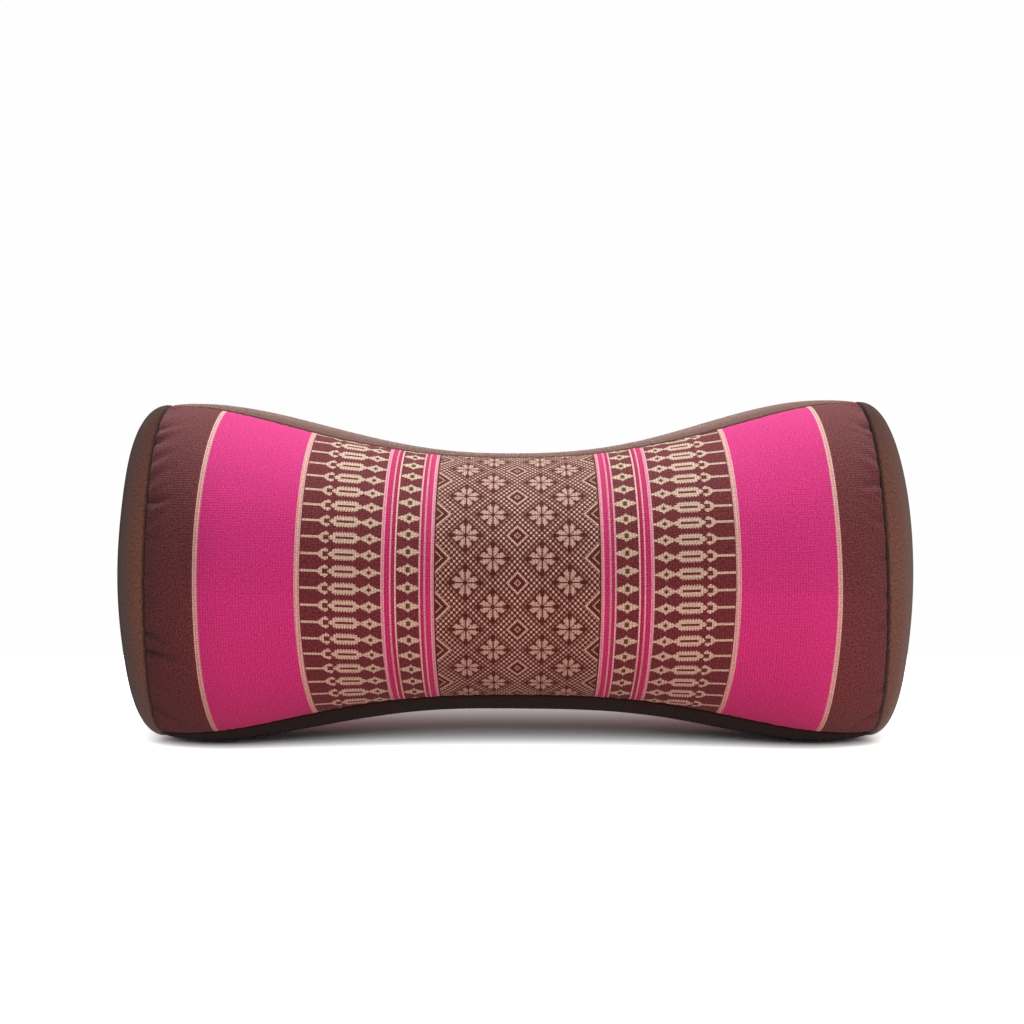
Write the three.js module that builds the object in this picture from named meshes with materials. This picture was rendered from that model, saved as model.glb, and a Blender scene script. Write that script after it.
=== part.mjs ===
// A bone-shaped neck pillow: a stuffed cloth roll with a waist, sewn from six pieces of cloth.
// Millimetres, +Z up. X runs along the pillow, the front panel looks along -Y, and Z = 0 is the
// surface that the pillow stands on. The origin is below the middle of the pillow.
import * as THREE from "three";

// Driving dimensions, along the pillow
const SEAM_X = 176; // end seam, where it crosses the top and the bottom
const SEAM_X_SIDE = 172; // end seam, halfway up the front and the back
const CAP_CROWN = 24; // how far an end cap swells past its seam
const CAP_FULLNESS = { top: 2.4, bottom: 1.95 }; // how boxy a cap's swell is: 2 is an ellipse
const RIGHT_SEAM_SKEW = 3; // how much further out the right end seam lies at the bottom
const CREST_X = 161; // where the pillow is tallest

// Driving dimensions, heights
const END_TOP = 174.4; // top over the swollen ends
const END_TOP_UNEVEN = 0.9; // the right end is this much taller, the left one as much lower
const WAIST_TOP = 147.9; // top over the waist
const WAIST_LIFT = 15.8; // gap between the waist and the surface below
const END_PRESS = 4; // how far the ends would reach below the surface, if it didn't press them flat
const TOP_RISE = 1.23; // how late the top rises from the waist to the ends: 1 is even
const BOTTOM_RISE = 1.4; // the same for the underside

// Driving dimensions, depths from the middle plane to the front or the back
const WAIST_DEPTH = 79;
const END_DEPTH = 86;
const PINCH_X = 130; // from here the cloth draws in towards the end seam
const PINCH_POWER = 2.2; // how late it draws in: 1 is even
const SEAM_DEPTH = 67.5; // front or back of the end seam
const SEAM_DRAW = 5.5; // how much the end seam lifts the underside

// Seams
const SEAM_GROOVE = 1.8; // how deep a seam is drawn into the filling
const SEAM_GROOVE_WIDTH = 5; // how far the groove reaches to each side
const GAP = 0.3; // clearance between neighbouring pieces

// How far each long seam of the front panel lies round the section, in degrees from straight ahead.
// The pillow has rolled back a little, so the top seam lies further round than the bottom one. The
// back panel is the front panel turned half a turn about the pillow's length.
const LONG_SEAM = [
  { x: 0, top: 71.5, bottom: 58 },
  { x: 50, top: 70, bottom: 58.5 },
  { x: 90, top: 66.5, bottom: 59.5 },
  { x: 125, top: 68, bottom: 61.5 },
  { x: 152, top: 72.5, bottom: 64 },
  { x: 176, top: 80, bottom: 70 },
];

// Fineness of the meshes
const STEPS_LENGTH = 52;
const STEPS_PANEL = 20;
const STEPS_GUSSET = 8;
const STEPS_DOME = 9;
const END_CROWDING = 0.6; // how much closer the rows lie at the ends: 0 is even

const QUARTER = Math.PI / 2;
const lerp = (from, to, share) => from + (to - from) * share;
const radians = THREE.MathUtils.degToRad;

// Share of the way from the waist to a swollen end: 0 at the waist, 1 at the crest and beyond.
function swell(x, rise) {
  const reach = Math.min(Math.abs(x) / CREST_X, 1);
  return Math.sin(QUARTER * reach ** rise) ** 2;
}

// Share of the draw-in towards the end seam: 0 up to PINCH_X, 1 at the seam.
function pinch(x) {
  return Math.max(0, (Math.abs(x) - PINCH_X) / (SEAM_X - PINCH_X)) ** PINCH_POWER;
}

// The ellipse of the section at x, before the surface below presses it flat.
function section(x) {
  const endTop = END_TOP + END_TOP_UNEVEN * Math.sign(x);
  const top = lerp(WAIST_TOP, endTop, swell(x, TOP_RISE));
  const bottom = lerp(WAIST_LIFT, -END_PRESS, swell(x, BOTTOM_RISE)) + SEAM_DRAW * pinch(x);
  const full = lerp(WAIST_DEPTH, END_DEPTH, swell(x, 1));
  return {
    centre: (top + bottom) / 2,
    height: (top - bottom) / 2,
    depth: full - (END_DEPTH - SEAM_DEPTH) * pinch(x),
  };
}

// Smooth curve through the rows of LONG_SEAM, level at the waist.
const seamCurve = new THREE.CubicInterpolant(
  LONG_SEAM.map((row) => row.x),
  LONG_SEAM.flatMap((row) => [row.top, row.bottom]),
  2,
);
seamCurve.settings = { endingStart: THREE.ZeroSlopeEnding, endingEnd: THREE.ZeroCurvatureEnding };

// The four long seams round the section. The angle is 0 straight ahead, a quarter turn on top,
// a half turn at the back and three quarters below.
function longSeams(x) {
  const [top, bottom] = [...seamCurve.evaluate(Math.min(Math.abs(x), SEAM_X))].map(radians);
  return [top, Math.PI - bottom, Math.PI + top, 2 * Math.PI - bottom];
}

// How far out the end seam of this side lies along X, at this angle round the section.
function endSeamX(side, angle) {
  const skew = side > 0 ? (RIGHT_SEAM_SKEW * (1 - Math.sin(angle))) / 2 : 0;
  return lerp(SEAM_X_SIDE, SEAM_X, Math.sin(angle) ** 2) + skew;
}

// How far out the middle of the end seam lies, where the filling of the roll meets the cap.
function endMiddleX(side) {
  return endSeamX(side, 0);
}

// Depth of a seam's groove at this distance from the seam.
function groove(distance) {
  return SEAM_GROOVE * Math.exp(-((distance / SEAM_GROOVE_WIDTH) ** 2));
}

// A point of the section at x and at this angle, drawn in by inset, at station endX.
function sectionPoint(x, angle, inset, endX = x) {
  const { centre, height, depth } = section(x);
  const y = -(depth - inset) * Math.cos(angle);
  const z = centre + (height - inset) * Math.sin(angle);
  return new THREE.Vector3(endX, y, Math.max(z, 0));
}

// A point of the outside of the roll. Along runs from -1 at the left end seam to 1 at the right one.
function rollPoint(along, angle) {
  const x = along * SEAM_X;
  const radius = section(x).height;
  const seams = longSeams(x);
  const nearest = Math.min(
    ...seams.map((seam) => Math.abs(Math.atan2(Math.sin(angle - seam), Math.cos(angle - seam)))),
  );
  const toEnd = (1 - Math.abs(along)) * SEAM_X;
  const inset = groove(nearest * radius) + groove(toEnd);
  const endX = along * (endSeamX(Math.sign(along), angle) - GAP / 2);
  return sectionPoint(x, angle, inset, endX);
}

// Rows of points from -1 to 1, closer together at the ends, where the cloth draws in.
function alongAt(step) {
  const even = (2 * step) / STEPS_LENGTH - 1;
  return lerp(even, Math.sin(QUARTER * even), END_CROWDING);
}

// A mesh from rows of points and a list of triangles.
function meshOf(name, points, triangles, colour) {
  const geometry = new THREE.BufferGeometry().setFromPoints(points);
  geometry.setIndex(triangles);
  geometry.computeVertexNormals();
  const material = new THREE.MeshStandardMaterial({ color: colour, roughness: 0.95, metalness: 0 });
  const mesh = new THREE.Mesh(geometry, material);
  mesh.name = name;
  return mesh;
}

// Two triangles for each cell of a grid of rows and columns.
function gridTriangles(rows, columns, index) {
  const triangles = [];
  for (let r = 0; r < rows; r++)
    for (let c = 0; c < columns; c++) {
      const a = index(r, c);
      const b = index(r + 1, c);
      const d = index(r, c + 1);
      const e = index(r + 1, c + 1);
      triangles.push(a, b, e, a, e, d);
    }
  return triangles;
}

// One cloth piece with its share of the filling, between two neighbouring long seams. It is a
// wedge: the outside of the roll, two walls from the seams to the middle line, and two end walls.
function wedge(name, firstSeam, steps, colour) {
  const points = [];
  const columns = steps + 1;
  for (let r = 0; r <= STEPS_LENGTH; r++) {
    const along = alongAt(r);
    const x = along * SEAM_X;
    const { centre, height } = section(x);
    const seams = longSeams(x);
    const trim = GAP / 2 / height;
    const start = seams[firstSeam] + trim;
    const turn = firstSeam === 3 ? 2 * Math.PI : 0;
    const end = seams[(firstSeam + 1) % 4] + turn - trim;
    for (let c = 0; c <= steps; c++) points.push(rollPoint(along, lerp(start, end, c / steps)));
    const middle = (start + end) / 2;
    const off = GAP / 2 / Math.sin((end - start) / 2);
    const axisX = along * (endMiddleX(Math.sign(along)) - GAP / 2);
    points.push(
      new THREE.Vector3(axisX, -off * Math.cos(middle), centre + off * Math.sin(middle)),
    );
  }
  const row = columns + 1;
  const outer = (r, c) => r * row + c;
  const axis = (r) => r * row + columns;
  const triangles = gridTriangles(STEPS_LENGTH, steps, outer);
  for (let r = 0; r < STEPS_LENGTH; r++) {
    triangles.push(axis(r), outer(r + 1, 0), outer(r, 0));
    triangles.push(axis(r), axis(r + 1), outer(r + 1, 0));
    triangles.push(outer(r, steps), outer(r + 1, steps), axis(r));
    triangles.push(outer(r + 1, steps), axis(r + 1), axis(r));
  }
  for (let c = 0; c < steps; c++) {
    triangles.push(axis(0), outer(0, c), outer(0, c + 1));
    triangles.push(axis(STEPS_LENGTH), outer(STEPS_LENGTH, c + 1), outer(STEPS_LENGTH, c));
  }
  return meshOf(name, points, triangles, colour);
}

// One round end cap with its share of the filling: a shallow dome on the end seam, closed by a
// wall that faces the end walls of the roll. Side is -1 for the left end and 1 for the right one.
function cap(name, side, colour) {
  const angles = [];
  const seams = longSeams(side * SEAM_X);
  for (let s = 0; s < 4; s++) {
    const start = seams[s];
    const end = seams[(s + 1) % 4] + (s === 3 ? 2 * Math.PI : 0);
    const steps = s % 2 ? STEPS_PANEL : STEPS_GUSSET;
    for (let c = 0; c < steps; c++) angles.push(lerp(start, end, c / steps));
  }
  const { centre } = section(side * SEAM_X);
  const points = [];
  for (let d = 1; d <= STEPS_DOME; d++) {
    const polar = (QUARTER * d) / STEPS_DOME;
    for (const angle of angles) {
      const high = (1 + Math.sin(angle)) / 2;
      const power = 2 / lerp(CAP_FULLNESS.bottom, CAP_FULLNESS.top, high);
      const out = d === STEPS_DOME ? 0 : Math.cos(polar) ** power;
      const wide = Math.sin(polar) ** power;
      const rim = sectionPoint(side * SEAM_X, angle, SEAM_GROOVE);
      const seamX = lerp(endMiddleX(side), endSeamX(side, angle), wide ** 2);
      const x = side * (seamX + GAP / 2 + CAP_CROWN * out);
      points.push(new THREE.Vector3(x, rim.y * wide, lerp(centre, rim.z, wide)));
    }
  }
  const count = angles.length;
  const crown = points.length;
  const baseX = endMiddleX(side) + GAP / 2;
  points.push(new THREE.Vector3(side * (baseX + CAP_CROWN), 0, centre));
  points.push(new THREE.Vector3(side * baseX, 0, centre));
  const base = crown + 1;
  const ring = (d, c) => d * count + (c % count);
  const triangles = gridTriangles(STEPS_DOME - 1, count, ring);
  const rim = STEPS_DOME - 1;
  for (let c = 0; c < count; c++) {
    triangles.push(crown, ring(0, c), ring(0, c + 1));
    triangles.push(base, ring(rim, c + 1), ring(rim, c));
  }
  if (side > 0)
    for (let t = 0; t < triangles.length; t += 3)
      [triangles[t + 1], triangles[t + 2]] = [triangles[t + 2], triangles[t + 1]];
  return meshOf(name, points, triangles, colour);
}

// The pillow
const PATTERN_CLOTH = 0xc23a78;
const PLAIN_COTTON = 0x5c4638;

const sewn = new THREE.Group();
sewn.add(
  wedge("top_gusset", 0, STEPS_GUSSET, PLAIN_COTTON),
  wedge("back_panel", 1, STEPS_PANEL, PATTERN_CLOTH),
  wedge("bottom_gusset", 2, STEPS_GUSSET, PLAIN_COTTON),
  wedge("front_panel", 3, STEPS_PANEL, PATTERN_CLOTH),
  cap("left_cap", -1, PLAIN_COTTON),
  cap("right_cap", 1, PLAIN_COTTON),
);
sewn.position.x = (endMiddleX(-1) - endMiddleX(1)) / 2; // centres the uneven length

const pillow = new THREE.Group();
pillow.add(sewn);
export default pillow;
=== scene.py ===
import math

import bpy
import numpy as np
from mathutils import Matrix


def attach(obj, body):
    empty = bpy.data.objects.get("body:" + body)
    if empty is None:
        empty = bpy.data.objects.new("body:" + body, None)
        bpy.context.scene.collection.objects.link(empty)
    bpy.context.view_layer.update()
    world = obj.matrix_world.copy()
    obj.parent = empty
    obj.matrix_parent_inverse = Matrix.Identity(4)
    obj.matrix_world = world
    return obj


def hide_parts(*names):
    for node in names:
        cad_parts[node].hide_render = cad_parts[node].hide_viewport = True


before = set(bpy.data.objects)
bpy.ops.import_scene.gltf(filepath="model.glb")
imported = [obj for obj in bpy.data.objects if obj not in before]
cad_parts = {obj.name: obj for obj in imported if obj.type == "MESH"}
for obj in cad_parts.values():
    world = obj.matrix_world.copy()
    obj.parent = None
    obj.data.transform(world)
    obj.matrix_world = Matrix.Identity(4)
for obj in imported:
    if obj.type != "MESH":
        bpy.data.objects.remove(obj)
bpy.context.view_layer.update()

MM = 0.001

# Shape of the stuffed roll, as in the solids
SEAM_X = 176 * MM  # end seam at the top and the bottom
SEAM_X_SIDE = 172 * MM  # end seam halfway up
RIGHT_SEAM_SKEW = 3 * MM
CAP_CROWN = 24 * MM
CAP_FULLNESS_TOP = 2.4
CAP_FULLNESS_BOTTOM = 1.95
CREST_X = 161 * MM
END_TOP = 174.4 * MM
END_TOP_UNEVEN = 0.9 * MM
WAIST_TOP = 147.9 * MM
WAIST_LIFT = 15.8 * MM
END_PRESS = 4 * MM
TOP_RISE = 1.23
BOTTOM_RISE = 1.4
WAIST_DEPTH = 79 * MM
END_DEPTH = 86 * MM
PINCH_X = 130 * MM
PINCH_POWER = 2.2
SEAM_DEPTH = 67.5 * MM
SEAM_DRAW = 5.5 * MM
SEAM_SAG = 2.5 * MM  # the cloth hangs this much lower at the bottom of an end seam than the solids
GAP = 0.3 * MM
CENTRING = -RIGHT_SEAM_SKEW / 4  # moves the uneven length to the middle of the box

# Angle of the front panel's long seams, in degrees from straight ahead
LONG_SEAM = [
    {"x": 0, "top": 71.5, "bottom": 58},
    {"x": 50, "top": 70, "bottom": 58.5},
    {"x": 90, "top": 66.5, "bottom": 59.5},
    {"x": 125, "top": 68, "bottom": 61.5},
    {"x": 152, "top": 72.5, "bottom": 64},
    {"x": 176, "top": 80, "bottom": 70},
]

# Cloth relief
FLOOR_EASE = 13 * MM  # height over which the underside comes down on the floor
GROOVE = 0.7 * MM  # how deep a seam draws in the filling
GROOVE_WIDTH = 5 * MM
FOLD = 1.25 * MM  # how deep the cloth rolls under at the seam line itself
FOLD_WIDTH = 0.65 * MM
PUCKER = 0.16 * MM  # ripples that the stitches pull into the cloth beside a long seam
PUCKER_WIDTH = 4.5 * MM
PUCKER_PITCH = 6.3 * MM
CAP_PUCKER = 1.6 * PUCKER
GATHER = 0.55 * MM  # wider ripples where a panel is gathered into an end seam
GATHER_WIDTH = 11 * MM
GATHER_PITCH = 11.5 * MM
LUMP = 0.45 * MM  # unevenness of the stuffing
LUMP_FADE = 20 * MM  # the unevenness dies out this close to a long seam, and a little
LUMP_END_FADE = 25 * MM  # further from an end seam
SHARED_PRESS = 3 * MM  # within this of an end seam, both cloths are pressed in the same direction
SEAM_SHADOW = 0.44  # share of light that the cleft of a seam keeps out, painted as shade into the cloth's colour
SEAM_SHADOW_WIDTH = 0.7 * MM
CREASE_SHADOW = 0.34  # the same, as painted shade, for each millimetre of a crease's depth

# Soft creases that run from an end seam into the panel: height of the start on the seam, length,
# how much the crease drops towards the waist, depth and half width, in millimetres
CREASES = [
    {"side": -1, "z": 157, "length": 9, "drop": -1, "depth": 0.8, "half": 1.3},
    {"side": -1, "z": 149, "length": 13, "drop": -2.5, "depth": 1.3, "half": 1.4},
    {"side": -1, "z": 119.5, "length": 13, "drop": -0.5, "depth": 1.7, "half": 1.2},
    {"side": -1, "z": 103, "length": 8, "drop": 0.5, "depth": 1.0, "half": 1.3},
    {"side": -1, "z": 85, "length": 7, "drop": 0, "depth": 0.9, "half": 1.2},
    {"side": -1, "z": 72, "length": 7, "drop": -1, "depth": 0.9, "half": 1.2},
    {"side": -1, "z": 57.5, "length": 13, "drop": 3, "depth": 1.7, "half": 1.2},
    {"side": -1, "z": 49, "length": 22, "drop": 3.5, "depth": 1.9, "half": 1.3},
    {"side": -1, "z": 21, "length": 17, "drop": 9, "depth": 1.1, "half": 1.8},
    {"side": 1, "z": 158, "length": 8, "drop": 2, "depth": 1.1, "half": 1.6},
    {"side": 1, "z": 128, "length": 12, "drop": 1, "depth": 1.4, "half": 1.2},
    {"side": 1, "z": 112, "length": 8, "drop": 0.5, "depth": 0.9, "half": 1.2},
    {"side": 1, "z": 93, "length": 8, "drop": 0, "depth": 0.9, "half": 1.3},
    {"side": 1, "z": 62, "length": 9, "drop": 1, "depth": 1.0, "half": 1.2},
    {"side": 1, "z": 30, "length": 8, "drop": 0, "depth": 1.2, "half": 1.2},
    {"side": 1, "z": 18, "length": 16, "drop": 8, "depth": 1.1, "half": 1.8},
]

# Fineness of the meshes
ROWS = 380
PANEL_COLUMNS = 190
GUSSET_COLUMNS = 84
CAP_COLUMNS = 420
DOME_RINGS = 60
PANEL_CLUSTER = 0.75  # share of sine steps, which crowd the points towards the seams
ROW_CLUSTER = 0.7
DOME_CLUSTER = 0.6


def swell(x, rise):
    """Share of the way from the waist to a swollen end: a sine squared that is 1 from the crest on."""
    reach = np.minimum(np.abs(x) / CREST_X, 1)
    return np.sin(math.pi / 2 * reach**rise) ** 2


def pinch(x):
    """Share of the draw-in towards the end seam: a power of the way from PINCH_X to the seam."""
    return np.maximum(0, (np.abs(x) - PINCH_X) / (SEAM_X - PINCH_X)) ** PINCH_POWER


def section(x):
    """Ellipse of the section at x: the height of its centre, its half height and its half depth.
    Each goes from the waist's measure to the end's by its swell, and is drawn in by the pinch."""
    end_top = END_TOP + END_TOP_UNEVEN * np.sign(x)
    top = WAIST_TOP + (end_top - WAIST_TOP) * swell(x, TOP_RISE)
    bottom = WAIST_LIFT - (WAIST_LIFT + END_PRESS) * swell(x, BOTTOM_RISE)
    bottom = bottom + (SEAM_DRAW - SEAM_SAG) * pinch(x)
    depth = WAIST_DEPTH + (END_DEPTH - WAIST_DEPTH) * swell(x, 1) - (END_DEPTH - SEAM_DEPTH) * pinch(x)
    return (top + bottom) / 2, (top - bottom) / 2, depth


def seam_angle(x, side):
    """Angle of a long seam at x: a cubic through each pair of rows, its slopes from the rows beside."""
    xs = np.array([row["x"] for row in LONG_SEAM]) * MM
    angles = np.radians([row[side] for row in LONG_SEAM])
    slopes = np.gradient(angles, xs)
    slopes[0] = 0
    reach = np.minimum(np.abs(x), SEAM_X)
    first = np.clip(np.searchsorted(xs, reach) - 1, 0, len(xs) - 2)
    span = xs[first + 1] - xs[first]
    t = (reach - xs[first]) / span
    ends = angles[first] * (1 + 2 * t) * (1 - t) ** 2 + angles[first + 1] * t**2 * (3 - 2 * t)
    bends = slopes[first] * t * (1 - t) ** 2 - slopes[first + 1] * t**2 * (1 - t)
    return ends + bends * span


def long_seams(x):
    """The four long seams round the section: front top, back top, back bottom, front bottom."""
    top = seam_angle(x, "top")
    bottom = seam_angle(x, "bottom")
    return [top, math.pi - bottom, math.pi + top, 2 * math.pi - bottom]


def end_seam_x(side, angle):
    """How far out the end seam lies: further at the top and the bottom than halfway up, by the
    square of the sine, and on the right also further towards the bottom."""
    skew = np.where(side > 0, RIGHT_SEAM_SKEW * (1 - np.sin(angle)) / 2, 0)
    return SEAM_X_SIDE + (SEAM_X - SEAM_X_SIDE) * np.sin(angle) ** 2 + skew


def settled(z):
    """Height of the cloth over the floor: the pressed-in depth of the underside is taken away by a
    falling exponential, so that the roll rests on a narrow strip and rises gently beside it."""
    above = z + END_PRESS
    return np.maximum(above - END_PRESS * (1 - np.exp(-above / FLOOR_EASE)), 0)


def lumps(points):
    """Uneven stuffing: a sum of slow sine waves of unlike lengths and directions."""
    x, y, z = (points[..., k] for k in range(3))
    wave = np.sin(x / (17 * MM) + 1.3 * np.sin(z / (23 * MM)) + y / (31 * MM))
    wave = wave + 0.8 * np.sin(z / (13 * MM) - x / (29 * MM) + 0.7)
    wave = wave + 0.6 * np.sin((x + 1.7 * z - y) / (19 * MM) + 2.1)
    return LUMP * wave / 2.4


def ripples(along_seam, pitch):
    """Stitch ripples: a sine along a seam whose pitch and strength wander by slower sines."""
    phase = 2 * math.pi * along_seam / pitch
    wander = 2.2 * np.sin(phase * 0.231) + 1.1 * np.sin(phase * 0.137 + 1)
    return np.sin(phase + wander) * (0.6 + 0.4 * np.sin(phase * 0.317 + 0.5))


def seam_relief(distance, along_seam, depth=PUCKER, width=PUCKER_WIDTH, pitch=PUCKER_PITCH):
    """Depth below the smooth roll at a distance from a seam: a wide groove, the edge's own roll
    and ripples that fade with the distance."""
    groove = GROOVE * np.exp(-((distance / GROOVE_WIDTH) ** 2))
    fold = FOLD * np.exp(-((distance / FOLD_WIDTH) ** 2))
    return groove + fold + depth * ripples(along_seam, pitch) * np.exp(-((distance / width) ** 2))


def crease_relief(points, side_x):
    """Creases from the end seams: a steep upper lip and a soft lower swell across each crease, an
    exponential valley less a bell beside it, fading along its length. Returns the depth, and the
    painted shade that darkens the valley's colour: how much of the light the valley keeps out."""
    depth = np.zeros(points.shape[:2])
    painted_shade = np.zeros(points.shape[:2])
    x, z = points[..., 0], points[..., 2]
    for crease in CREASES:
        inward = (side_x - crease["side"] * x) / (crease["length"] * MM)
        way = np.clip(inward, 0, None)
        line = crease["z"] * MM - crease["drop"] * MM * way**1.3
        across = (z - line) / (crease["half"] * MM * (1 + 0.4 * way))
        fade = np.exp(-(way**2) * 1.6)
        valley = np.exp(-(np.sqrt(across**2 + 0.09) - 0.3)) * np.exp(-((across / 3) ** 2))
        swell_below = 0.42 * np.exp(-(((across + 2.1) / 1.5) ** 2))
        reached = (crease["side"] * x > 0) & (inward > -0.5)
        depth += reached * crease["depth"] * MM * fade * (valley - swell_below)
        painted_shade += reached * CREASE_SHADOW * crease["depth"] * fade * valley**2
    return depth, painted_shade


def seam_shadow(to_seam):
    """Painted shade for a seam's narrow cleft, finer than the mesh: the share of light it keeps out, as a
    bell.
    """
    return SEAM_SHADOW * np.exp(-((to_seam / SEAM_SHADOW_WIDTH) ** 2))


def unit(vectors):
    """The vectors divided by their lengths."""
    return vectors / np.maximum(np.linalg.norm(vectors, axis=-1, keepdims=True), 1e-12)


def normals_of(grid):
    """Unit normals of a grid of points: the cross product of its two directions."""
    return unit(np.cross(np.gradient(grid, axis=0), np.gradient(grid, axis=1)))


def press_direction(normal, angle, height, depth, to_end):
    """Outward direction in which the cloth is pressed: the normal, and close to the end seam the
    normal of the seam's own ellipse, so that the cloths on both sides of it move together."""
    ring = np.stack([np.zeros_like(angle), -np.cos(angle) * height, np.sin(angle) * depth], axis=-1)
    near = np.exp(-((to_end / SHARED_PRESS) ** 2))[..., None]
    return unit(normal * (1 - near) + unit(ring) * near)


def clustered(count, share):
    """Steps from -1 to 1 that lie closer together at both ends: a mix of even and sine steps."""
    even = np.linspace(-1, 1, count + 1)
    return even * (1 - share) + np.sin(math.pi / 2 * even) * share


def mesh_object(name, points, faces, uv, painted_shade):
    """A smooth shaded mesh from arrays: points, faces of three or four corners, and for each point
    its cloth coordinates in metres and its painted shade: the share of light that its crease or seam keeps
    out."""
    mesh = bpy.data.meshes.new(name)
    mesh.from_pydata(points.tolist(), [], faces)
    layer = mesh.uv_layers.new(name="cloth")
    corners = np.empty(len(mesh.loops), dtype=np.int32)
    mesh.loops.foreach_get("vertex_index", corners)
    layer.data.foreach_set("uv", uv[corners].astype(np.float32).ravel())
    # each point's painted shade, which the material multiplies into the colour
    mesh.attributes.new("painted_shade", "FLOAT", "POINT").data.foreach_set("value", painted_shade.astype(np.float32))
    mesh.shade_smooth()
    mesh.validate()
    piece = bpy.data.objects.new(name, mesh)
    bpy.context.scene.collection.objects.link(piece)
    return piece


def grid_faces(index):
    """Quads of a grid, from an array of vertex numbers."""
    a, b = index[:-1, :-1], index[1:, :-1]
    c, d = index[1:, 1:], index[:-1, 1:]
    return np.stack([a, b, c, d], axis=-1).reshape(-1, 4)


def middle_of(arc, angle, middle):
    """Length along each row's arc at which its angle passes the middle angle, by straight lines
    between the points; half the whole length where there is no middle angle."""
    if middle is None:
        return arc[:, -1] / 2
    before = (angle < middle).sum(axis=1) - 1
    row = np.arange(len(arc))
    part = (middle - angle[row, before]) / (angle[row, before + 1] - angle[row, before])
    return arc[row, before] * (1 - part) + arc[row, before + 1] * part


def wedge_faces(rows, width):
    """Faces of a skin of rows by width points and a spine of one point for each row: the skin's
    quads, a wall from each long edge to the spine, and a fan over each end."""
    index = np.arange(rows * width).reshape(rows, width)
    spine = rows * width + np.arange(rows)
    first, last = index[:, 0], index[:, -1]
    near_wall = np.stack([spine[:-1], spine[1:], first[1:], first[:-1]], axis=-1)
    far_wall = np.stack([last[:-1], last[1:], spine[1:], spine[:-1]], axis=-1)
    quads = np.concatenate([grid_faces(index), near_wall, far_wall])
    low, high = index[0], index[-1]
    low_fan = np.stack([np.full(width - 1, spine[0]), low[:-1], low[1:]], axis=-1)
    high_fan = np.stack([np.full(width - 1, spine[-1]), high[1:], high[:-1]], axis=-1)
    return quads.tolist() + low_fan.tolist() + high_fan.tolist()


def roll_panel(name, first_seam, columns, middle=None, crease=False):
    """One cloth piece of the roll with its share of the stuffing, between two long seams: the
    section's ellipse swept along X, pressed in at its seams, and closed by walls to the middle.
    Heights on the cloth count from the middle angle, or from halfway between the seams."""
    along = clustered(ROWS, ROW_CLUSTER)
    x = along * SEAM_X
    centre, height, depth = section(x)
    seams = long_seams(x)
    trim = GAP / 2 / height
    start = seams[first_seam] + trim
    end = seams[(first_seam + 1) % 4] + (2 * math.pi if first_seam == 3 else 0) - trim
    share = (clustered(columns, PANEL_CLUSTER) + 1) / 2
    angle = start[:, None] + (end - start)[:, None] * share[None, :]
    side = np.sign(along)[:, None]
    end_x = along[:, None] * (end_seam_x(side, angle) - GAP / 2)
    smooth = np.stack(
        [
            end_x,
            -depth[:, None] * np.cos(angle),
            centre[:, None] + height[:, None] * np.sin(angle),
        ],
        axis=-1,
    )
    out = normals_of(smooth)
    step = np.linalg.norm(np.diff(smooth, axis=1), axis=-1)
    arc = np.concatenate([np.zeros((len(along), 1)), np.cumsum(step, axis=1)], axis=1)
    up = arc - middle_of(arc, angle, middle)[:, None]
    to_long = np.minimum(arc, arc[:, -1:] - arc)
    to_end = (1 - np.abs(along))[:, None] * SEAM_X + np.zeros_like(arc)
    inset = seam_relief(to_long, smooth[..., 0])
    gathers = smooth[..., 2] + smooth[..., 1]
    end_inset = seam_relief(to_end, gathers, GATHER, GATHER_WIDTH, GATHER_PITCH)
    inset = np.where(np.abs(end_inset) > np.abs(inset), end_inset, inset)
    inset -= lumps(smooth) * np.clip(to_long / LUMP_FADE, 0, 1) * np.clip(to_end / LUMP_END_FADE, 0, 1)
    # painted shade: the seams' clefts, and below it the creases' valleys, darken the cloth's colour by this
    # share
    painted_shade = np.maximum(seam_shadow(to_long), seam_shadow(to_end))
    if crease:
        crease_depth, crease_painted_shade = crease_relief(smooth, end_seam_x(side, angle))
        inset += crease_depth
        painted_shade = np.maximum(painted_shade, crease_painted_shade)
    push = press_direction(out, angle, height[:, None], depth[:, None], to_end)
    skin = smooth - push * inset[..., None]
    skin[..., 2] = settled(skin[..., 2])
    skin[..., 0] += CENTRING
    middle_angle = (start + end) / 2
    off = GAP / 2 / np.sin((end - start) / 2)
    spine = np.stack(
        [
            along * (end_seam_x(np.sign(along), 0) - GAP / 2) + CENTRING,
            -off * np.cos(middle_angle),
            centre + off * np.sin(middle_angle),
        ],
        axis=-1,
    )
    rows, width = skin.shape[:2]
    faces = wedge_faces(rows, width)
    points = np.concatenate([skin.reshape(-1, 3), spine])
    uv = np.stack([smooth[..., 0], up], axis=-1).reshape(-1, 2)
    uv = np.concatenate([uv, np.stack([spine[:, 0], np.zeros(rows)], axis=-1)])
    painted_shade = np.concatenate([painted_shade.ravel(), np.zeros(rows)])
    return mesh_object(name, points, faces, uv, painted_shade)


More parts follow.
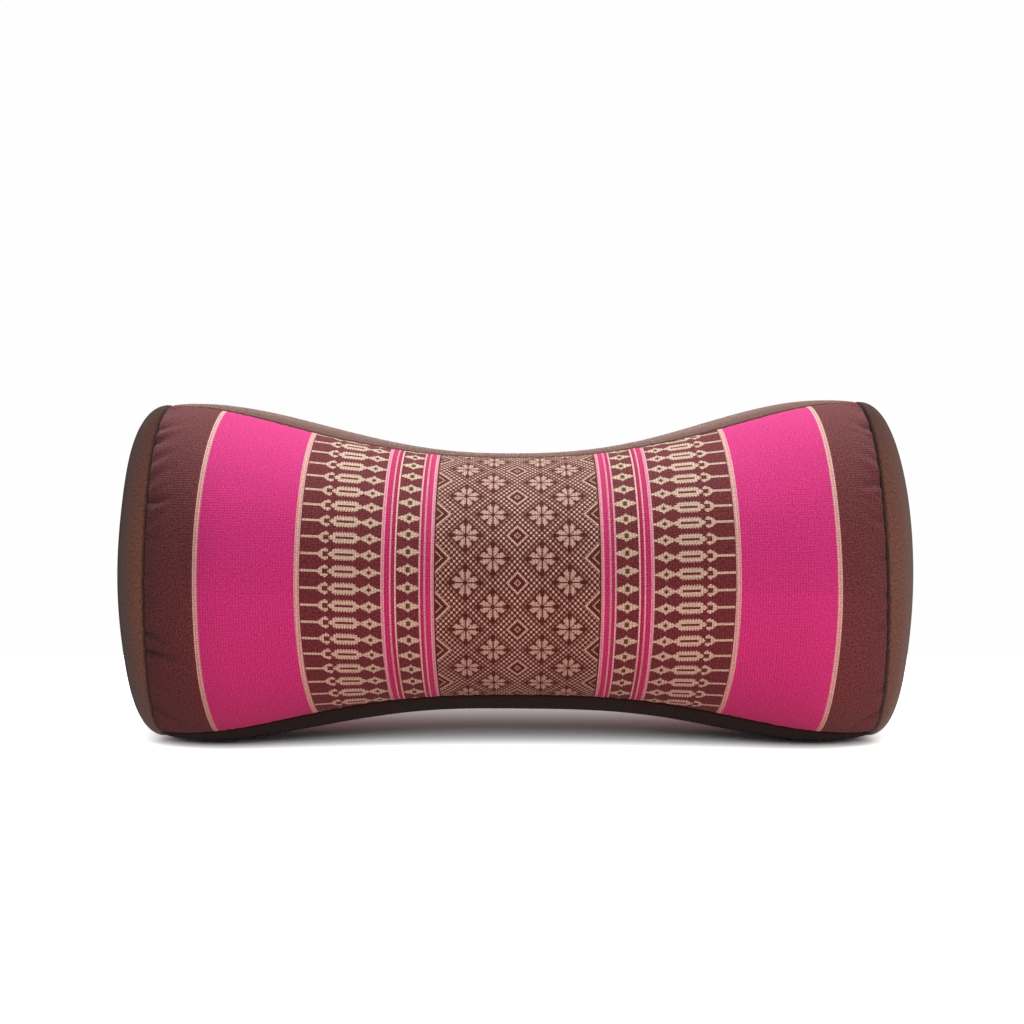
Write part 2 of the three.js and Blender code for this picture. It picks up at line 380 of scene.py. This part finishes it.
def end_cap(name, side):
    """One round end with its share of the stuffing: a shallow swollen dome over the end seam,
    a power of sine and cosine from its crown to its rim, closed by a wall towards the roll."""
    angle = np.linspace(0, 2 * math.pi, CAP_COLUMNS, endpoint=False)
    polar = math.pi / 2 * clustered(2 * DOME_RINGS, DOME_CLUSTER)[DOME_RINGS + 1 :]
    centre, height, depth = section(np.array(side * SEAM_X))
    high = (1 + np.sin(angle)) / 2
    power = 2 / (CAP_FULLNESS_BOTTOM + (CAP_FULLNESS_TOP - CAP_FULLNESS_BOTTOM) * high)
    out = np.clip(np.cos(polar)[:, None], 0, 1) ** power
    out[-1] = 0
    wide = np.sin(polar)[:, None] ** power
    flat_x = end_seam_x(side, 0)
    seam_x = flat_x + (end_seam_x(side, angle) - flat_x) * wide**2
    smooth = np.stack(
        [
            side * (seam_x + GAP / 2 + CAP_CROWN * out),
            -depth * np.cos(angle) * wide,
            centre + height * np.sin(angle) * wide,
        ],
        axis=-1,
    )
    ring = np.concatenate([smooth, smooth[:, :1]], axis=1)
    normal = -normals_of(ring)[:, :-1] * side
    crown = np.array([side * (flat_x + GAP / 2 + CAP_CROWN), 0, centre])
    spokes = np.concatenate([np.broadcast_to(crown, (1, CAP_COLUMNS, 3)), smooth])
    arc = np.cumsum(np.linalg.norm(np.diff(spokes, axis=0), axis=-1), axis=0)
    to_seam = arc[-1] - arc
    inset = seam_relief(to_seam, smooth[..., 2] + smooth[..., 1], CAP_PUCKER)
    inset -= lumps(smooth) * np.clip(to_seam / LUMP_END_FADE, 0, 1)
    around = np.broadcast_to(angle, to_seam.shape)
    push = press_direction(normal, around, height, depth, to_seam)
    skin = smooth - push * inset[..., None]
    skin[..., 2] = settled(skin[..., 2])
    skin[..., 0] += CENTRING
    base = np.array([side * (flat_x + GAP / 2) + CENTRING, 0, centre])
    crown[0] += CENTRING
    rings = len(polar)
    index = np.arange(rings * CAP_COLUMNS).reshape(rings, CAP_COLUMNS)
    index = np.concatenate([index, index[:, :1]], axis=1)
    top, bottom = rings * CAP_COLUMNS, rings * CAP_COLUMNS + 1
    turn = -1 if side > 0 else 1
    crown_fan = np.stack([np.full(CAP_COLUMNS, top), index[0, :-1], index[0, 1:]], axis=-1)
    wall_fan = np.stack([np.full(CAP_COLUMNS, bottom), index[-1, 1:], index[-1, :-1]], axis=-1)
    faces = [face for part in (grid_faces(index), crown_fan, wall_fan) for face in part[:, ::turn].tolist()]
    uv = np.stack([arc * np.cos(angle), arc * np.sin(angle)], axis=-1).reshape(-1, 2)
    uv = np.concatenate([uv, np.zeros((2, 2))])
    points = np.concatenate([skin.reshape(-1, 3), [crown, base]])
    # painted shade of the seam's cleft, which darkens the cap's colour
    painted_shade = np.concatenate([seam_shadow(to_seam).ravel(), [0, 0]])
    return mesh_object(name, points, faces, uv, painted_shade)


def linear(hex_colour):
    """A colour written as sRGB hex, as linear RGBA by the sRGB curve: a short straight foot, and
    a power of 2.4 above it."""
    parts = [int(hex_colour[k : k + 2], 16) / 255 for k in (1, 3, 5)]
    lit = [p / 12.92 if p <= 0.04045 else ((p + 0.055) / 1.055) ** 2.4 for p in parts]
    return (*lit, 1.0)


def add(tree, kind, *inputs, **settings):
    """Adds a node, sets its settings, and links or sets its inputs in order; returns its output."""
    made = tree.nodes.new("ShaderNode" + kind)
    for name, value in settings.items():
        setattr(made, name, value)
    for socket, value in zip(made.inputs, inputs):
        if isinstance(value, bpy.types.NodeSocket):
            tree.links.new(value, socket)
        elif value is not None:
            socket.default_value = value
    return made.outputs[0]


# The woven pattern, in cloth millimetres from the middle of the panel
PATTERN_MIDDLE = 1.7  # the cloth was cut a little off its middle
CELL = 0.63  # width of one thread step
HALF_CENTRE = 37.6  # the centre's lattice runs this far to each side
SMALL_BAND = 45.05  # the band of small flowers: where it begins, its middle and where it ends
SMALL_BAND_MIDDLE = 50.15
SMALL_BAND_END = 55.2
BIG_BAND = 62.4  # the band of big motifs, which run 58 steps outwards from here
BIG_BAND_END = 98.9
BIG_PITCH = 7.63
SMALL_PITCH = 8.04
ROWS_PER_PITCH = 14
CENTRE_PITCH = 22.05
CENTRE_ROWS = 34
INNER_FLOWER = 18  # columns of the two rings of flowers
OUTER_FLOWER = 38
FLOWER_CHANGE = 28  # column where the inner ring gives way to the outer one
DIAMOND_RIM = [26.5, 28.5]  # steps from a flower to the small diamond's rim, and to its heart
DIAMOND_HEART = [32.5, 33.5]
# The centre's ground of light dots, an even grid about as dense as in the photograph. Every second
# row of dots is shifted by half
DOT_COLUMNS = 4  # columns from dot to dot in a row
DOTS_PER_PITCH = 8  # pairs of rows in one pitch of the lattice
DOTS_FROM = 13.2  # steps from a flower where the dots begin and end
DOTS_TO = 25.5
DOT_WAVE = [-0.05, 0.45]  # height of the wave where a dot begins, and where it is at its lightest
DIM_FROM = 13  # the dots beside a flower are dimmer, over these steps and down to this share
DIM_TO = 18
DIM_SHARE = 0.35
PETAL_LIGHT = 0.84  # the petals' light threads lie less dense than those of the ground's dots
CENTRE_SHIFT = 0.25  # how far the lattice lies below the middle line
BAND_SHIFT = 2.4  # how far the rows of big motifs lie above it
SMALL_SHIFT = 2.05  # the small flowers lie this much higher than the big motifs
BAND_SLANT = 0.0085  # the rows of the bands run slightly downhill to the right
BAND_STRETCH = 0.978  # the panel is pulled taut, so rows lie further apart than they were woven
BAND_EASE = 0.0000115  # and further still towards the long seams, by the cube of the height

# Charts of one quarter of a motif: the first line is its middle row, the first mark of
# a line its middle column, and # is a light thread. The fork isn't halved along its columns.
PETALS = ["", "..######", "...#######", "....#####", "......##"]
BIG_FLOWER = ["..#####", ".#####", "####", "##", "#"]
LONG_RING = [".......#####", "###########.", "#########", "#########", "#.#.#.#"]
FORK = ["....####", "....###", "######", "#####", ".##."]
SMALL_FLOWER = ["..#######", "..#####", "####", "##", "#"]

# Plain stripes from the middle of the panel outwards: where each begins, and its colour
STRIPES = [
    {"from": 0, "colour": "#58261A"},
    {"from": HALF_CENTRE, "colour": "#DA93A2"},
    {"from": 39.5, "colour": "#C2346A"},
    {"from": 41.8, "colour": "#DF98A4"},
    {"from": 42.75, "colour": "#B03060"},
    {"from": 44.1, "colour": "#E4A6AC"},
    {"from": SMALL_BAND, "colour": "#6E2F33"},
    {"from": SMALL_BAND_END, "colour": "#E4ACAC"},
    {"from": 56.1, "colour": "#A82A50"},
    {"from": 57.3, "colour": "#DF98A4"},
    {"from": 58.3, "colour": "#BE3068"},
    {"from": 60.6, "colour": "#DD98A6"},
    {"from": BIG_BAND, "colour": "#6E2F33"},
    {"from": BIG_BAND_END, "colour": "#D9A6A0"},
    {"from": 101.1, "colour": "#D2357F"},
    {"from": 145.1, "colour": "#D9A6A0"},
    {"from": 147.0, "colour": "#6D3638"},
]
STRIPE_REACH = 200
BEIGE = "#CDB39E"
ROSE_BEIGE = "#CCA99A"
OLIVE = "#614420"


# The cloths themselves. Real threads lie about 0.3 mm apart, which would vanish in a view of the
# whole pillow, so the ribs are drawn about 1.2 mm apart and the grain of the fibres 1 mm wide
BROWN = "#6C4438"
PATTERN_RIBS = 2 * CELL
PLAIN_RIBS = 1.2
WEFT_SHARE = 0.6  # how strong the weft's ribs are beside the warp's
PATTERN_GRAIN = 1100.0  # noise cells in a metre of cloth
PLAIN_GRAIN = 900.0
GRAIN_DETAIL = 2.0
GRAIN_ROUGHNESS = 0.6
PATTERN_RELIEF = 0.00012  # in metres, of the threads under the light
PLAIN_RELIEF = 0.0001
MOTIF_RAISE = 0.8  # how far the pattern's light threads stand over the ground, in rib heights
PATTERN_FUZZ = 0.1  # the soft sheen of loose fibres
PLAIN_FUZZ = 0.22
COTTON_ROUGHNESS = 0.92
COTTON_GLOSS = 0.2
FUZZ_ROUGHNESS = 0.5
RELIEF_STRENGTH = 0.55
PALE_RIBS = [0.16, 0.4, 0.06, 0.17]  # from this lightness to that, the ribs shade more: from, to
DARK_SPECKS = [0.05, 0.17, 3.4, 1.4]  # and the grain less
PLAIN_RIB_SHADE = 0.05
PLAIN_SPECKS = [0.3, 0.7, 0.65, 1.35]  # grain from, to, and the shade it gives from, to
TAUT = 1.008  # the woven width over the width of the panel
SLACK = 0.0000046  # below the middle the pattern draws in, by the square of the depth
SLACK_STRIPE = [105.0, 145.0]  # fully up to the first distance, and not at all from the second on


def charted(tree, rows, column, row):
    """1 where a chart has a mark at this whole column and row, else 0. Each line is
    packed into a number, the row picks the number, and halving it column times shows the mark."""
    packed = 0.0
    for k, line in enumerate(rows):
        number = sum(2.0**place for place, mark in enumerate(line) if mark == "#")
        here = add(tree, "Math", row, float(k), 0.5, operation="COMPARE")
        packed = add(tree, "Math", here, number, packed, operation="MULTIPLY_ADD")
    power = add(tree, "Math", 2.0, column, operation="POWER")
    halved = add(tree, "Math", packed, power, operation="DIVIDE")
    whole = add(tree, "Math", halved, 0.0001, operation="ADD")
    whole = add(tree, "Math", whole, operation="FLOOR")
    return add(tree, "Math", whole, 2.0, operation="FLOORED_MODULO")


def steps_from(tree, column, middle):
    """Whole steps to a motif's middle column: the difference without its sign."""
    away = add(tree, "Math", column, float(middle), operation="SUBTRACT")
    return add(tree, "Math", away, operation="ABSOLUTE")


def motif_rows(tree, v, pitch, count):
    """Whole rows from the nearest motif's middle: v wrapped to half a pitch each way."""
    wrapped = add(tree, "Math", v, pitch / 2, -pitch / 2, operation="WRAP")
    away = add(tree, "Math", wrapped, operation="ABSOLUTE")
    away = add(tree, "Math", away, count / pitch, operation="MULTIPLY")
    return add(tree, "Math", away, operation="FLOOR")


def between(tree, value, low, high):
    """1 where a value lies between two limits, as the product of two comparisons."""
    above = add(tree, "Math", value, float(low), operation="GREATER_THAN")
    below = add(tree, "Math", value, float(high), operation="LESS_THAN")
    return add(tree, "Math", above, below, operation="MULTIPLY")


def either(tree, *masks):
    """The largest of the masks, which is 1 where any of them is 1."""
    found = masks[0]
    for mask in masks[1:]:
        found = add(tree, "Math", found, mask, operation="MAXIMUM")
    return found


def band_motifs(tree, across, v):
    """The two bands of motifs beside the centre: big ones of a flower, a long ring, a fork and a
    stem, and small flowers. Returns where their light threads lie, and the small flowers' hearts."""
    column = add(tree, "Math", across, -BIG_BAND, operation="ADD")
    column = add(tree, "Math", column, CELL, operation="DIVIDE")
    column = add(tree, "Math", column, operation="FLOOR")
    row = motif_rows(tree, v, BIG_PITCH, ROWS_PER_PITCH)
    on_axis = add(tree, "Math", row, 0.5, operation="LESS_THAN")
    flower = charted(tree, BIG_FLOWER, steps_from(tree, column, 8), row)
    ring = charted(tree, LONG_RING, steps_from(tree, column, 26), row)
    fork = charted(tree, FORK, add(tree, "Math", column, 38.0, operation="SUBTRACT"), row)
    tail = add(tree, "Math", between(tree, column, -0.5, 2.5), on_axis, operation="MULTIPLY")
    stem = add(tree, "Math", between(tree, column, 45.5, 58.5), on_axis, operation="MULTIPLY")
    big = either(tree, flower, ring, fork, tail, stem)
    big = add(tree, "Math", big, between(tree, across, BIG_BAND, BIG_BAND_END), operation="MULTIPLY")
    in_small = between(tree, across, SMALL_BAND, SMALL_BAND_END)
    column = add(tree, "Math", across, -SMALL_BAND_MIDDLE, operation="ADD")
    column = add(tree, "Math", column, CELL, operation="DIVIDE")
    column = add(tree, "Math", column, operation="ROUND")
    sideways = steps_from(tree, column, 0)
    row = motif_rows(tree, add(tree, "Math", v, -SMALL_SHIFT, operation="ADD"), SMALL_PITCH, ROWS_PER_PITCH)
    small = add(tree, "Math", charted(tree, SMALL_FLOWER, sideways, row), in_small, operation="MULTIPLY")
    hole = add(tree, "Math", sideways, row, operation="MAXIMUM")
    hole = add(tree, "Math", hole, 1.5, operation="LESS_THAN")
    hole = add(tree, "Math", hole, in_small, operation="MULTIPLY")
    return either(tree, big, small), hole


def centre_lattice(tree, across, v):
    """The centre panel: eight-petalled flowers in two rings of columns, small diamonds between
    them, and a ground of light dots, where two cosines multiply to more than nothing. Distances
    are counted in steps from each flower, columns and rows together."""
    v = add(tree, "Math", v, CENTRE_SHIFT, operation="ADD")
    column = add(tree, "Math", across, CELL, operation="DIVIDE")
    column = add(tree, "Math", column, operation="ROUND")
    row = add(tree, "Math", v, CENTRE_ROWS / CENTRE_PITCH, operation="MULTIPLY")
    row = add(tree, "Math", row, operation="ROUND")
    half = CENTRE_ROWS / 2
    level = add(tree, "Math", row, half, -half, operation="WRAP")
    level = add(tree, "Math", level, operation="ABSOLUTE")
    shifted = add(tree, "Math", half, level, operation="SUBTRACT")
    inner = add(tree, "Math", column, float(FLOWER_CHANGE), operation="LESS_THAN")
    inner_x = steps_from(tree, column, INNER_FLOWER)
    outer_x = steps_from(tree, column, OUTER_FLOWER)
    flower_x = add(tree, "Mix", inner, None, outer_x, inner_x)
    flower_y = add(tree, "Mix", inner, None, level, shifted)
    long_side = add(tree, "Math", flower_x, flower_y, operation="MAXIMUM")
    short_side = add(tree, "Math", flower_x, flower_y, operation="MINIMUM")
    petals = charted(tree, PETALS, long_side, short_side)
    petals = add(tree, "Math", petals, PETAL_LIGHT, operation="MULTIPLY")
    away = add(tree, "Math", flower_x, flower_y, operation="ADD")
    outer = add(tree, "Math", 1.0, inner, operation="SUBTRACT")
    away = add(tree, "Math", away, outer, operation="SUBTRACT")
    rim = between(tree, away, *DIAMOND_RIM)
    heart = between(tree, away, *DIAMOND_HEART)
    to_inner = add(tree, "Math", inner_x, shifted, operation="ADD")
    to_outer = add(tree, "Math", outer_x, level, operation="ADD")
    nearest = add(tree, "Math", to_inner, to_outer, operation="MINIMUM")
    wave_x = add(tree, "Math", across, 2 * math.pi / (DOT_COLUMNS * CELL), operation="MULTIPLY")
    wave_y = add(tree, "Math", v, 2 * math.pi * DOTS_PER_PITCH / CENTRE_PITCH, operation="MULTIPLY")
    wave_x = add(tree, "Math", wave_x, operation="COSINE")
    wave_y = add(tree, "Math", wave_y, operation="COSINE")
    dots = add(tree, "Math", wave_x, wave_y, operation="MULTIPLY")
    dots = add(tree, "MapRange", dots, *DOT_WAVE, 0.0, 1.0)
    dim = add(tree, "MapRange", nearest, DIM_FROM, DIM_TO, DIM_SHARE, 1.0)
    clear = add(tree, "Math", nearest, DOTS_FROM, operation="GREATER_THAN")
    inside = add(tree, "Math", away, DOTS_TO, operation="LESS_THAN")
    for share in (dim, clear, inside):
        dots = add(tree, "Math", dots, share, operation="MULTIPLY")
    light = either(tree, petals, rim, heart, dots)
    return add(tree, "Math", light, between(tree, across, -1, HALF_CENTRE), operation="MULTIPLY")


def cloth_axes(tree):
    """Cloth coordinates in millimetres, from the piece's own UV map: along it, and up it."""
    uv = add(tree, "UVMap", uv_map="cloth")
    parts = tree.nodes.new("ShaderNodeSeparateXYZ")
    tree.links.new(uv, parts.inputs[0])
    along = add(tree, "Math", parts.outputs[0], 1 / MM, operation="MULTIPLY")
    up = add(tree, "Math", parts.outputs[1], 1 / MM, operation="MULTIPLY")
    return along, up


def ribs(tree, along, up, pitch):
    """Fine ribs of the weave: a sine across the warp and a weaker one across the weft."""
    warp = add(tree, "Math", along, 2 * math.pi / pitch, operation="MULTIPLY")
    weft = add(tree, "Math", up, 2 * math.pi / pitch, operation="MULTIPLY")
    warp = add(tree, "Math", warp, operation="SINE")
    weft = add(tree, "Math", weft, operation="SINE")
    return add(tree, "Math", weft, WEFT_SHARE, warp, operation="MULTIPLY_ADD")


def stripe_ramp(tree, across):
    """Colours of the plain stripes, one flat step of a ramp for each."""
    share = add(tree, "Math", across, 1 / STRIPE_REACH, operation="MULTIPLY")
    made = tree.nodes.new("ShaderNodeValToRGB")
    made.color_ramp.interpolation = "CONSTANT"
    tree.links.new(share, made.inputs[0])
    stops = made.color_ramp.elements
    stops[0].position = 0
    stops[0].color = linear(STRIPES[0]["colour"])
    stops.remove(stops[1])
    for stripe in STRIPES[1:]:
        stop = stops.new(stripe["from"] / STRIPE_REACH)
        stop.color = linear(stripe["colour"])
    return made.outputs[0]


def cotton_shader(tree, colour, height, bump, fuzz):
    """Matt cotton: rough, with a soft fuzz sheen, over a fine thread relief, with painted shade darkening
    its colour in the clefts.
    """
    shader = tree.nodes["Principled BSDF"]
    # painted shade: the colour is darkened by the share of light that a seam's cleft or a crease keeps out
    painted_shade = tree.nodes.new("ShaderNodeAttribute")
    painted_shade.attribute_name = "painted_shade"
    open_share = add(tree, "Math", 1.0, painted_shade.outputs["Fac"], operation="SUBTRACT")
    colour = add(tree, "MixRGB", 1.0, colour, open_share, blend_type="MULTIPLY")
    tree.links.new(colour, shader.inputs["Base Color"])
    shader.inputs["Roughness"].default_value = COTTON_ROUGHNESS
    shader.inputs["Specular IOR Level"].default_value = COTTON_GLOSS
    shader.inputs["Sheen Weight"].default_value = fuzz
    shader.inputs["Sheen Roughness"].default_value = FUZZ_ROUGHNESS
    relief = add(tree, "Bump", RELIEF_STRENGTH, bump, None, height)
    tree.links.new(relief, shader.inputs["Normal"])


def khit_cloth():
    """Cotton with a supplementary weft pattern: matt, dense, with light threads raised over a dark
    ground in small stepped motifs, between plain dyed stripes."""
    material = bpy.data.materials.new("khit_weft_cotton")
    material.use_nodes = True
    tree = material.node_tree
    along, up = cloth_axes(tree)
    sideways = add(tree, "Math", along, -PATTERN_MIDDLE, operation="ADD")
    below = add(tree, "Math", up, 0.0, operation="MINIMUM")
    distance = add(tree, "Math", sideways, operation="ABSOLUTE")
    slack = add(tree, "MapRange", distance, *SLACK_STRIPE, SLACK, 0.0)
    draw = add(tree, "Math", below, 2.0, operation="POWER")
    draw = add(tree, "Math", draw, slack, TAUT, operation="MULTIPLY_ADD")
    across = add(tree, "Math", distance, draw, operation="MULTIPLY")
    cube = add(tree, "Math", up, 3.0, operation="POWER")
    level = add(tree, "Math", up, BAND_STRETCH, -BAND_SHIFT, operation="MULTIPLY_ADD")
    level = add(tree, "Math", cube, -BAND_EASE, level, operation="MULTIPLY_ADD")
    level = add(tree, "Math", sideways, BAND_SLANT, level, operation="MULTIPLY_ADD")
    bands, holes = band_motifs(tree, across, level)
    centre = centre_lattice(tree, across, up)
    ground = stripe_ramp(tree, across)
    with_holes = add(tree, "MixRGB", holes, ground, linear(OLIVE))
    with_bands = add(tree, "MixRGB", bands, with_holes, linear(BEIGE))
    with_centre = add(tree, "MixRGB", centre, with_bands, linear(ROSE_BEIGE))
    threads = ribs(tree, along, up, PATTERN_RIBS)
    lightness = add(tree, "RGBToBW", with_centre)
    pale = add(tree, "MapRange", lightness, *PALE_RIBS)
    shade = add(tree, "Math", threads, pale, 1.0, operation="MULTIPLY_ADD")
    place = add(tree, "UVMap", uv_map="cloth")
    grain = add(tree, "TexNoise", place, None, PATTERN_GRAIN, GRAIN_DETAIL, GRAIN_ROUGHNESS)
    coarse = add(tree, "MapRange", lightness, *DARK_SPECKS)
    speck = add(tree, "Math", grain, -0.5, operation="ADD")
    speck = add(tree, "Math", speck, coarse, 1.0, operation="MULTIPLY_ADD")
    shade = add(tree, "Math", shade, speck, operation="MULTIPLY")
    colour = add(tree, "MixRGB", 1.0, with_centre, shade, blend_type="MULTIPLY")
    raised = add(tree, "Math", either(tree, bands, centre), MOTIF_RAISE, threads, operation="MULTIPLY_ADD")
    cotton_shader(tree, colour, raised, PATTERN_RELIEF, PATTERN_FUZZ)
    return material


def plain_cotton():
    """Brown plain-weave cotton: matt and even, with fine ribs and slight thread streaks."""
    material = bpy.data.materials.new("brown_plain_cotton")
    material.use_nodes = True
    tree = material.node_tree
    along, up = cloth_axes(tree)
    threads = ribs(tree, along, up, PLAIN_RIBS)
    place = add(tree, "UVMap", uv_map="cloth")
    grain = add(tree, "TexNoise", place, None, PLAIN_GRAIN, GRAIN_DETAIL, GRAIN_ROUGHNESS)
    speck = add(tree, "MapRange", grain, *PLAIN_SPECKS)
    shade = add(tree, "Math", threads, PLAIN_RIB_SHADE, 1.0, operation="MULTIPLY_ADD")
    shade = add(tree, "Math", shade, speck, operation="MULTIPLY")
    colour = add(tree, "MixRGB", 1.0, linear(BROWN), shade, blend_type="MULTIPLY")
    cotton_shader(tree, colour, threads, PLAIN_RELIEF, PLAIN_FUZZ)
    return material


def dress(piece, node, material):
    piece.data.materials.append(material)
    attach(piece, "root")
    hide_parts(node)


# The photograph's view: 1200 pixels of focal length on a frame 1024 pixels wide
FOCAL_PIXELS = 1200
FRAME_PIXELS = 1024
CAMERA_DISTANCE = 624 * MM
CAMERA_X = -1.55 * MM
CAMERA_HEIGHT = 88.4 * MM
HORIZON_PIXEL = 568


def photo_camera():
    """A level camera in front of the pillow, tipped up so that its horizon falls at HORIZON_PIXEL."""
    data = bpy.data.cameras.new("photo_camera")
    data.sensor_width = 36
    data.lens = data.sensor_width * FOCAL_PIXELS / FRAME_PIXELS
    data.clip_start = 0.01
    camera = bpy.data.objects.new("photo_camera", data)
    tip = math.atan((HORIZON_PIXEL - FRAME_PIXELS / 2) / FOCAL_PIXELS)
    camera.location = (CAMERA_X, -CAMERA_DISTANCE, CAMERA_HEIGHT)
    camera.rotation_euler = (math.pi / 2 + tip, 0, 0)
    bpy.context.scene.collection.objects.link(camera)
    bpy.context.scene.camera = camera


def soft_light(name, place, aim, size, power, lit, shading=(), tint="#FFFFFF"):
    """A square area light that looks from its place at a point and lights the objects in a list,
    as if cards kept it off the rest. If there is a second list, only those cast its shadows."""
    data = bpy.data.lights.new(name, "AREA")
    data.shape = "SQUARE"
    data.size = size
    data.energy = power
    data.color = linear(tint)[:3]
    light = bpy.data.objects.new(name, data)
    light.location = place
    direction = np.array(aim) - np.array(place)
    light.rotation_euler = (
        math.acos(-direction[2] / np.linalg.norm(direction)),
        0,
        math.atan2(-direction[0], direction[1]),
    )
    bpy.context.scene.collection.objects.link(light)
    receivers = bpy.data.collections.new(name + "_receivers")
    for piece in lit:
        receivers.objects.link(piece)
    light.light_linking.receiver_collection = receivers
    if shading:
        blockers = bpy.data.collections.new(name + "_blockers")
        for piece in shading:
            blockers.objects.link(piece)
        light.light_linking.blocker_collection = blockers


# The floor is overexposed to white, as in the photograph, and throws little light back up
FLOOR_GAIN = 3.2
FAR_FLOOR_GAIN = 5.5
FLOOR_BOUNCE = 0.15
SURROUND_FRONT = 0.34
SURROUND_BACK = 0.03
SEEN_WHITE = 0.995
FLOOR_HALF = 0.6
FLOOR_FRONT = 0.05  # the gain rises from here to the far edge
PILLOW_MIDDLE = (0, 0, 0.08)
UNDER_TABLE = (0.3, -0.75, -0.35)  # where the bright table's own glow seems to come from


def studio(front, back, top, bottom, caps):
    """A white floor, a white surround and soft light from above, the front and the back."""
    scene = bpy.context.scene
    scene.view_settings.view_transform = "Standard"
    corners = FLOOR_HALF * np.array([[-1, -1, 0], [1, -1, 0], [1, 1, 0], [-1, 1, 0]])
    mesh = bpy.data.meshes.new("floor")
    mesh.from_pydata(corners.tolist(), [], [[0, 1, 2, 3]])
    floor = bpy.data.objects.new("floor", mesh)
    scene.collection.objects.link(floor)
    paint = bpy.data.materials.new("white_floor")
    paint.use_nodes = True
    tree = paint.node_tree
    tree.nodes.clear()
    seen = tree.nodes.new("ShaderNodeBsdfDiffuse")
    place = tree.nodes.new("ShaderNodeSeparateXYZ")
    tree.links.new(tree.nodes.new("ShaderNodeNewGeometry").outputs["Position"], place.inputs[0])
    gain = add(tree, "MapRange", place.outputs[1], FLOOR_FRONT, FLOOR_HALF, FLOOR_GAIN, FAR_FLOOR_GAIN)
    tree.links.new(gain, seen.inputs["Color"])
    bounced = tree.nodes.new("ShaderNodeBsdfDiffuse")
    bounced.inputs["Color"].default_value = (FLOOR_BOUNCE, FLOOR_BOUNCE, FLOOR_BOUNCE, 1)
    path = tree.nodes.new("ShaderNodeLightPath")
    mix = tree.nodes.new("ShaderNodeMixShader")
    tree.links.new(path.outputs["Is Camera Ray"], mix.inputs[0])
    tree.links.new(bounced.outputs[0], mix.inputs[1])
    tree.links.new(seen.outputs[0], mix.inputs[2])
    output = tree.nodes.new("ShaderNodeOutputMaterial")
    tree.links.new(mix.outputs[0], output.inputs["Surface"])
    mesh.materials.append(paint)
    world = bpy.data.worlds.new("surround")
    world.use_nodes = True
    scene.world = world
    tree = world.node_tree
    backdrop = tree.nodes["Background"]
    backdrop.inputs["Color"].default_value = (1, 1, 1, 1)
    path = tree.nodes.new("ShaderNodeLightPath")
    direction = tree.nodes.new("ShaderNodeSeparateXYZ")
    tree.links.new(tree.nodes.new("ShaderNodeTexCoord").outputs["Generated"], direction.inputs[0])
    glow = add(tree, "MapRange", direction.outputs[1], -0.3, 0.3, SURROUND_FRONT, SURROUND_BACK)
    strength = add(tree, "Mix", path.outputs["Is Camera Ray"], None, glow, SEEN_WHITE)
    tree.links.new(strength, backdrop.inputs["Strength"])
    pieces = [front, back, top, bottom, *caps]
    soft_light("overhead", (0, 0.15, 1.2), (0, 0, 0.1), 0.5, 15, [front, top])
    soft_light("floor_wash", (0, -2.4, 1.5), (0, 0, 0), 1.8, 60, [floor])
    soft_light("front", (0.9, -1.6, 0.75), PILLOW_MIDDLE, 1.2, 11, [front, top, *caps])
    soft_light("low_front", (0.6, -1.7, 0.32), PILLOW_MIDDLE, 0.6, 4.2, [front, *caps], (), "#FFEDEA")
    soft_light("table_glow", UNDER_TABLE, PILLOW_MIDDLE, 0.8, 4.6, [front], pieces, "#FFC6C2")
    soft_light("end_glow", UNDER_TABLE, PILLOW_MIDDLE, 0.8, 5.2, caps, pieces)
    soft_light("behind", (-0.3, 1.8, 0.8), PILLOW_MIDDLE, 1.2, 38, [top])
    soft_light("back_fill", (0.3, 1.8, 0.7), PILLOW_MIDDLE, 1.2, 12, [back, *caps])


photo_camera()
patterned = khit_cloth()
plain = plain_cotton()
front = roll_panel("front_panel_cloth", 3, PANEL_COLUMNS, 2 * math.pi, True)
back = roll_panel("back_panel_cloth", 1, PANEL_COLUMNS, math.pi, True)
top = roll_panel("top_gusset_cloth", 0, GUSSET_COLUMNS)
bottom = roll_panel("bottom_gusset_cloth", 2, GUSSET_COLUMNS)
caps = [end_cap("left_cap_cloth", -1), end_cap("right_cap_cloth", 1)]
dress(front, "front_panel", patterned)
dress(back, "back_panel", patterned)
dress(top, "top_gusset", plain)
dress(bottom, "bottom_gusset", plain)
dress(caps[0], "left_cap", plain)
dress(caps[1], "right_cap", plain)
studio(front, back, top, bottom, caps)
